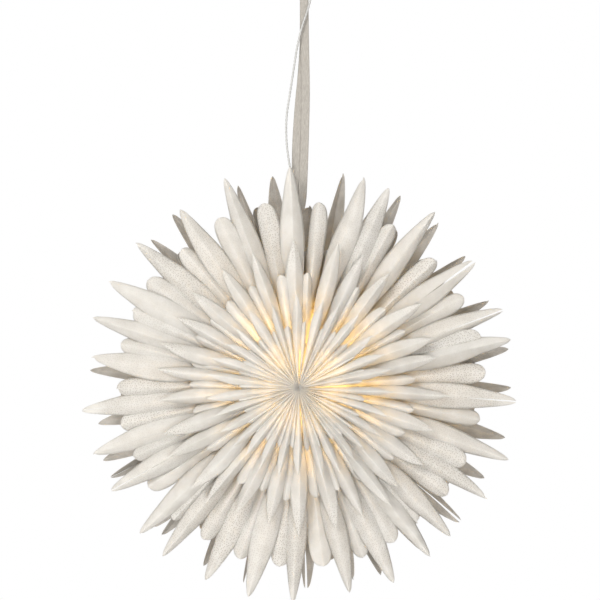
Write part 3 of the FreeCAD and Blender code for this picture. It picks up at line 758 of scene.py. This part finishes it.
def cord_spline():
    """The cord's own line: one smooth curve with the route's points as its control points."""
    route = CORD_ROUTE + tuple(coil_points()) + TAIL_ROUTE
    data = bpy.data.curves.new("cord_line", "CURVE")
    data.dimensions = "3D"
    data.resolution_u = 5
    spline = data.splines.new("NURBS")
    spline.points.add(len(route) - 1)
    for point, (across, back, up) in zip(spline.points, route):
        place = CENTRE + MM * Vector((across, back, up))
        point.co = (*place, 1)
    spline.order_u = 3
    spline.use_endpoint_u = True
    holder = bpy.data.objects.new("cord_line", data)
    mesh = bpy.data.meshes.new_from_object(holder)
    line = [v.co.copy() for v in mesh.vertices]
    bpy.data.meshes.remove(mesh)
    bpy.data.objects.remove(holder)
    bpy.data.curves.remove(data)
    return line


def even_line(line, step):
    """The line again, with points evenly spaced about step apart."""
    lengths = [0.0]
    for a, b in zip(line, line[1:]):
        lengths.append(lengths[-1] + (b - a).length)
    count = round(lengths[-1] / step)
    points = []
    n = 0
    for i in range(count + 1):
        along = lengths[-1] * i / count
        while n < len(line) - 2 and lengths[n + 1] < along:
            n += 1
        span = lengths[n + 1] - lengths[n]
        points.append(line[n].lerp(line[n + 1], (along - lengths[n]) / span))
    return points, lengths[-1]


def make_cord(material):
    """Two clear strands twisted about each other, from the lamp into the coil and on to the plug."""
    line, length = even_line(cord_spline(), STRAND_STEP)
    step = length / (len(line) - 1)
    points = []
    faces = []
    for strand in range(2):
        side = Vector((0, 1, 0))
        base = len(points)
        for n, place in enumerate(line):
            before = line[max(n - 1, 0)]
            after = line[min(n + 1, len(line) - 1)]
            run = (after - before).normalized()
            side = (side - run * side.dot(run)).normalized()
            other = run.cross(side)
            turn = 2 * math.pi * n * step / TWIST_PITCH + math.pi * strand
            middle = place + (side * math.cos(turn) + other * math.sin(turn)) * STRAND_OFFSET
            for k in range(STRAND_SIDES):
                around = 2 * math.pi * k / STRAND_SIDES
                offset = side * math.cos(around) + other * math.sin(around)
                points.append(middle + offset * STRAND_RADIUS)
        for n in range(len(line) - 1):
            for k in range(STRAND_SIDES):
                a = base + n * STRAND_SIDES + k
                b = base + n * STRAND_SIDES + (k + 1) % STRAND_SIDES
                faces.append((a, b, b + STRAND_SIDES, a + STRAND_SIDES))
        faces.append(tuple(base + k for k in reversed(range(STRAND_SIDES))))
        last = base + (len(line) - 1) * STRAND_SIDES
        faces.append(tuple(last + k for k in range(STRAND_SIDES)))
    mesh = bpy.data.meshes.new("twin_cord")
    mesh.from_pydata(points, [], faces)
    mesh.shade_smooth()
    mesh.materials.append(material)
    cord = bpy.data.objects.new("twin_cord", mesh)
    bpy.context.scene.collection.objects.link(cord)
    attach(cord, "root")
    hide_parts("cord", "cord_coil", "cord_tail")


# ---------------------------------------------------------------- ribbon

# Sizes in this section are in millimetres, apart from RIBBON_SHELL, which is in metres.
RIBBON_WIDTH = 11.5
RIBBON_THICKNESS = 0.9
# stations along the ribbon: across, towards the back and up from the star's centre, and how far
# its width is turned from X towards Y, in degrees
RIBBON_UP = (
    (-3.95, 0, 208.85, 90),
    (-2.2, 0, 208.9, 90),
    (-0.9, 0, 210.6, 90),
    (-0.5, 0, 216, 90),
    (-0.1, 0, 226, 84),
    (0.8, -0.5, 238, 60),
    (1.8, -1, 252, 28),
    (2.8, -1.2, 272, 8),
    (3.9, -1.2, 301, 0),
    (5.5, -1.2, 353, 0),
    (6.4, -1.2, 407, 0),
    (5.2, -1.2, 480, 0),
    (4.3, -1.5, 560, 0),
)
RIBBON_DOWN = (
    (4.1, 1.5, 560, 0),
    (3.9, 1.3, 474, 0),
    (1.2, 1, 428, 0),
    (-3.2, 0.6, 381, 0),
    (-6.2, 0.1, 335, 0),
    (-7, 0, 304, 0),
    (-7.2, 0, 272, 14),
    (-7.4, 0, 252, 42),
    (-7.6, 0, 236, 72),
    (-7.7, 0, 222, 90),
    (-7.6, 0, 214, 90),
    (-7.1, 0, 210.3, 90),
    (-5.8, 0, 208.9, 90),
    (-4.05, 0, 208.85, 90),
)
# the radius of the ribbon's middle line over the hook
LOOP_RADIUS = 6.45
LOOP_STEPS = 8
# steps from one station to the next, and across the ribbon
STATION_STEPS = 4
RIBBON_STEPS = 8
# how far its face waves, either way
RIBBON_WAVE = 0.35
# how thick the visual ribbon is, a little less than the CAD one
RIBBON_SHELL = 0.0007
VELVET_DARK = (0.21, 0.195, 0.17)
VELVET_LIGHT = (0.36, 0.335, 0.3)
PILE_LIGHT = (0.5, 0.47, 0.43)


def velvet_material():
    """Velvet ribbon: a pile that runs along it, pressed in streaks, with a sheen at its edges."""
    made, tree = new_material("ribbon_velvet")
    flat = add(tree, "UVMap", uv_map="sheet").outputs["UV"]
    drawn = add(tree, "Mapping", {"Vector": flat, "Scale": (1, 0.14, 1)}).outputs[0]
    streaks = grain(tree, drawn, 900, 4.0, 0.7)
    pile = grain(tree, flat, 2600, 2.0)
    colour = mix_colour(tree, ramp(tree, streaks, 0.3, 0.72), VELVET_DARK, VELVET_LIGHT)
    colour = mix_colour(tree, ramp(tree, pile, 0.35, 0.7, 0, 0.5), colour, PILE_LIGHT)
    height = math_node(tree, "ADD", streaks, math_node(tree, "MULTIPLY", pile, 0.6))
    normal = add(tree, "Bump", {"Height": height, "Strength": 0.5, "Distance": 0.0005})
    shader = add(
        tree,
        "BsdfPrincipled",
        {"Base Color": colour, "Roughness": 0.8, "Normal": normal.outputs[0]},
    )
    shader.inputs["Sheen Weight"].default_value = 0.3
    shader.inputs["Sheen Roughness"].default_value = 0.4
    shader.inputs["Sheen Tint"].default_value = (0.9, 0.88, 0.85, 1)
    add(tree, "OutputMaterial", {"Surface": shader.outputs[0]})
    return made


def hook_loop():
    """The half turn over the hook, from the front strand to the back one."""
    across = -CENTRE.x / MM
    level = -CENTRE.z / MM - (LOOP_RADIUS - RIBBON_THICKNESS / 2)
    loop = []
    for n in range(LOOP_STEPS + 1):
        turn = math.pi * n / LOOP_STEPS
        loop.append(
            (across, -LOOP_RADIUS * math.cos(turn), level + LOOP_RADIUS * math.sin(turn), 0)
        )
    return tuple(loop)


def between(a, b, c, d, s):
    """A point on the smooth curve through four stations, between the middle two."""
    return [
        curve_value(s, q, (u - p) / 2, u, (v - q) / 2) for p, q, u, v in zip(a, b, c, d)
    ]


def make_ribbon(material):
    """A flat ribbon from the cover's slot up over the hook and back down to the slot."""
    stations = RIBBON_UP + hook_loop() + RIBBON_DOWN
    fine = []
    for n in range(len(stations) - 1):
        a = stations[max(n - 1, 0)]
        d = stations[min(n + 2, len(stations) - 1)]
        for i in range(STATION_STEPS):
            fine.append(between(a, stations[n], stations[n + 1], d, i / STATION_STEPS))
    fine.append(stations[-1])
    places = [CENTRE + MM * Vector(station[:3]) for station in fine]
    points = []
    faces = []
    flat = []
    along = 0.0
    for n, place in enumerate(places):
        if n:
            along += (place - places[n - 1]).length
        run = (places[min(n + 1, len(places) - 1)] - places[max(n - 1, 0)]).normalized()
        turn = math.radians(fine[n][3])
        wide = Vector((math.cos(turn), math.sin(turn), 0))
        wide = (wide - run * wide.dot(run)).normalized()
        thick = run.cross(wide)
        for k in range(RIBBON_STEPS + 1):
            x = k / RIBBON_STEPS * 2 - 1
            crown = noise.noise(Vector((along * 25, x * 0.8, 3))) * RIBBON_WAVE * MM
            points.append(place + wide * x * RIBBON_WIDTH / 2 * MM + thick * crown)
            flat.append((x * RIBBON_WIDTH / 2 * MM, along))
    for n in range(len(places) - 1):
        for k in range(RIBBON_STEPS):
            a = n * (RIBBON_STEPS + 1) + k
            faces.append((a, a + 1, a + RIBBON_STEPS + 2, a + RIBBON_STEPS + 1))
    mesh = bpy.data.meshes.new("velvet_ribbon")
    mesh.from_pydata(points, [], faces)
    layer = mesh.uv_layers.new(name="sheet")
    for loop in mesh.loops:
        layer.data[loop.index].uv = flat[loop.vertex_index]
    mesh.shade_smooth()
    mesh.materials.append(material)
    ribbon = bpy.data.objects.new("velvet_ribbon", mesh)
    bpy.context.scene.collection.objects.link(ribbon)
    solid = ribbon.modifiers.new("thickness", "SOLIDIFY")
    solid.thickness = RIBBON_SHELL
    solid.offset = 0
    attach(ribbon, "root")
    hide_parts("ribbon")


# ---------------------------------------------------------------- the frame's own pieces


def cord_material():
    """Clear insulation over fine silvery wire."""
    made, tree = new_material("cord_clear")
    place = add(tree, "TexCoord").outputs["Object"]
    wires = grain(tree, place, 1400, 2.0)
    colour = mix_colour(tree, ramp(tree, wires, 0.35, 0.65), WIRE_DARK, WIRE_LIGHT)
    shader = add(tree, "BsdfPrincipled", {"Base Color": colour, "Roughness": 0.4})
    shader.inputs["Coat Weight"].default_value = 0.25
    shader.inputs["Coat Roughness"].default_value = 0.15
    add(tree, "OutputMaterial", {"Surface": shader.outputs[0]})
    return made


def bulb_material():
    """Frosted glass, lit from inside."""
    made, tree = new_material("bulb_glass")
    place = add(tree, "TexCoord").outputs["Object"]
    frost = grain(tree, place, 700, 3.0)
    colour = mix_colour(tree, frost, (0.95, 0.86, 0.68), (1, 0.93, 0.8))
    shader = add(tree, "BsdfPrincipled", {"Base Color": colour, "Roughness": 0.4})
    shader.inputs["Emission Color"].default_value = (1, 0.72, 0.38, 1)
    shader.inputs["Emission Strength"].default_value = 6.0
    add(tree, "OutputMaterial", {"Surface": shader.outputs[0]})
    return made


CARRIED = {
    "cover_left": "cover_card",
    "cover_right": "cover_card",
    "cover_magnets_left": "magnet_nickel",
    "cover_magnets_right": "magnet_nickel",
    "lamp_bracket": "bracket_steel",
    "bracket_rivets": "bracket_steel",
    "nipple_nut": "bracket_steel",
    "holder_nipple": "thread_brass",
    "holder_contact": "thread_brass",
    "screw_sleeve": "thread_brass",
    "holder_cap": "holder_plastic",
    "holder_shell": "holder_plastic",
    "cord_grip": "holder_plastic",
    "holder_core": "core_ceramic",
    "coil_tie": "tie_paper",
    "plug_tie": "tie_paper",
    "plug_body": "plug_white",
    "plug_pins": "pin_brass",
    "bulb_globe": "bulb_glass",
    "bulb_cap": "cap_nickel",
}


def carried_materials():
    """A finish for each slot of the frame's own pieces, which the visible model keeps."""
    simple = simple_material
    white = (0.86, 0.855, 0.83)
    return {
        "cover_card": simple("cover_card", (0.62, 0.57, 0.5), (0.75, 0.7, 0.63), 0.85, 0, 900, 0.3),
        "magnet_nickel": simple("magnet_nickel", (0.6, 0.6, 0.58), (0.7, 0.7, 0.68), 0.22, 1),
        "bracket_steel": simple("bracket_steel", (0.5, 0.5, 0.5), (0.62, 0.62, 0.63), 0.42, 1),
        "thread_brass": simple("thread_brass", (0.6, 0.42, 0.16), (0.75, 0.56, 0.26), 0.35, 1),
        "holder_plastic": simple("holder_plastic", (0.8, 0.79, 0.76), white, 0.38),
        "core_ceramic": simple("core_ceramic", (0.76, 0.74, 0.7), (0.86, 0.85, 0.81), 0.7),
        "tie_paper": simple("tie_paper", (0.78, 0.77, 0.74), white, 0.6),
        "plug_white": simple("plug_white", (0.82, 0.815, 0.8), (0.88, 0.875, 0.86), 0.42),
        "pin_brass": simple("pin_brass", (0.62, 0.6, 0.54), (0.74, 0.72, 0.66), 0.25, 1),
        "cap_nickel": simple("cap_nickel", (0.6, 0.6, 0.58), (0.72, 0.72, 0.7), 0.35, 1),
        "bulb_glass": bulb_material(),
    }


def dress_carried():
    made = carried_materials()
    for node, slot in CARRIED.items():
        for material_slot in nodes[node].material_slots:
            material_slot.material = made[slot]
    nodes["bulb_globe"].visible_shadow = False


FLOOR_RADIUS = 2.4
FLOOR_BELOW = 0.8


def make_floor():
    made, tree = new_material("floor")
    place = add(tree, "TexCoord").outputs["Object"]
    colour = mix_colour(tree, grain(tree, place, 8), (0.86, 0.86, 0.86), (0.9, 0.9, 0.9))
    shader = add(tree, "BsdfPrincipled", {"Base Color": colour, "Roughness": 0.9})
    add(tree, "OutputMaterial", {"Surface": shader.outputs[0]})
    bpy.ops.mesh.primitive_circle_add(
        vertices=96,
        radius=FLOOR_RADIUS,
        fill_type="NGON",
        location=CENTRE + Vector((0, 0, -FLOOR_BELOW)),
    )
    floor = bpy.context.object
    floor.name = "floor"
    floor.data.materials.append(made)


# ---------------------------------------------------------------- the scene

make_camera()
make_cord(cord_material())
make_lights()
make_floor()
outside = paper_material("bag_paper", PAPER_DARK, PAPER_LIGHT)
# the inner faces' paper: the same paper painted darker, as painted shade
inside_painted_shade = paper_material("bag_paper_inside_painted_shade", INSIDE_PAINTED_SHADE_DARK, INSIDE_PAINTED_SHADE_LIGHT)
make_bags([outside, inside_painted_shade])
make_ribbon(velvet_material())
dress_carried()
